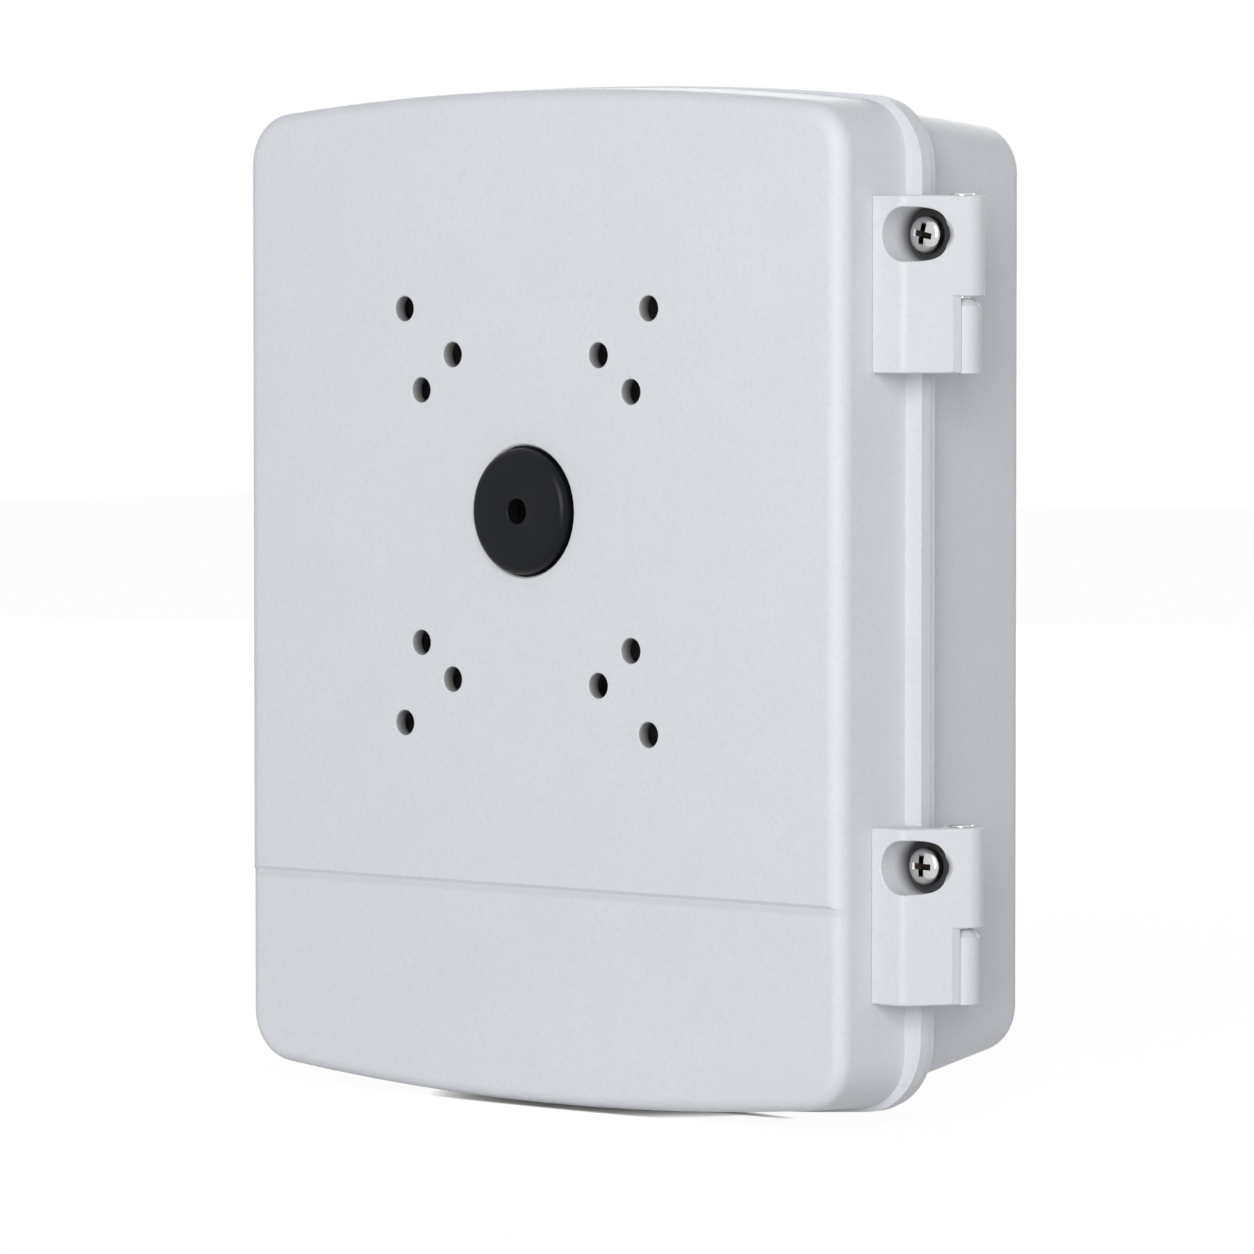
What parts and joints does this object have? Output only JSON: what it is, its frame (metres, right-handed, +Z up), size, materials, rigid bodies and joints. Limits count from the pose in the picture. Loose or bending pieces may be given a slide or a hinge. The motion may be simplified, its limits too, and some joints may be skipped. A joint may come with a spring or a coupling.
{
  "type": "camera junction box",
  "caption": "Wall junction box for a security camera: bowed die-cast cover with camera holes and a cable plug, hinged on a drafted rear housing with a terminal plate inside.",
  "frame": {"origin": "on the back face that lies against the wall, in line with the middle of the front cover", "axes": "+X to the right seen from the front, +Y into the wall, +Z up; the front face looks along -Y"},
  "size_m": [0.3141, 0.0989, 0.336],
  "materials": {
    "powder_coat": "light grey fine-texture powder coat on die-cast aluminium",
    "plug_rubber": "black moulded rubber, matt",
    "seal_rubber": "dark grey silicone rubber",
    "bright_steel": "nickel-plated steel",
    "dark_steel": "oiled spring steel",
    "zinc_sheet": "zinc-plated sheet",
    "terminal_plastic": "moulded pale polyamide",
    "clamp_brass": "plain brass",
    "entry_plastic": "grey moulded polyamide"
  },
  "bodies": {
    "housing": {"rear_housing": "powder_coat", "mounting_plate": "zinc_sheet", "plate_screw_1": "bright_steel", "plate_screw_2": "bright_steel", "plate_screw_3": "bright_steel", "plate_screw_4": "bright_steel", "terminal_base": "terminal_plastic", "terminal_cage_1": "clamp_brass", "terminal_cage_2": "clamp_brass", "terminal_cage_3": "clamp_brass", "terminal_cage_4": "clamp_brass", "terminal_cage_5": "clamp_brass", "terminal_cage_6": "clamp_brass", "terminal_screw_1": "bright_steel", "terminal_screw_2": "bright_steel", "terminal_screw_3": "bright_steel", "terminal_screw_4": "bright_steel", "terminal_screw_5": "bright_steel", "terminal_screw_6": "bright_steel", "terminal_fixing_screw_1": "bright_steel", "terminal_fixing_screw_2": "bright_steel", "earth_bolt": "clamp_brass", "earth_washer": "clamp_brass", "earth_nut": "clamp_brass", "entry_plug_1": "entry_plastic", "entry_plug_2": "entry_plastic", "entry_plug_3": "entry_plastic", "entry_seal_1": "seal_rubber", "entry_seal_2": "seal_rubber", "entry_seal_3": "seal_rubber", "entry_nut_1": "entry_plastic", "entry_nut_2": "entry_plastic", "entry_nut_3": "entry_plastic"},
    "cover": {"front_cover": "powder_coat", "cover_gasket": "seal_rubber", "cable_plug": "plug_rubber", "hinge_block_upper": "powder_coat", "hinge_block_lower": "powder_coat", "hinge_pin_upper": "bright_steel", "hinge_pin_lower": "bright_steel", "hinge_screw_upper": "bright_steel", "hinge_screw_lower": "bright_steel", "hinge_washer_upper": "dark_steel", "hinge_washer_lower": "dark_steel", "closure_screw_upper": "bright_steel", "closure_screw_lower": "bright_steel", "closure_washer_upper": "dark_steel", "closure_washer_lower": "dark_steel"}
  },
  "joints": [
    {"name": "cover_hinge", "type": "hinge", "parent": "housing", "child": "cover", "pos_m": [0.1517, -0.0576, 0], "axis": [0, 0, 1], "range_deg": [0, 120]}
  ]
}
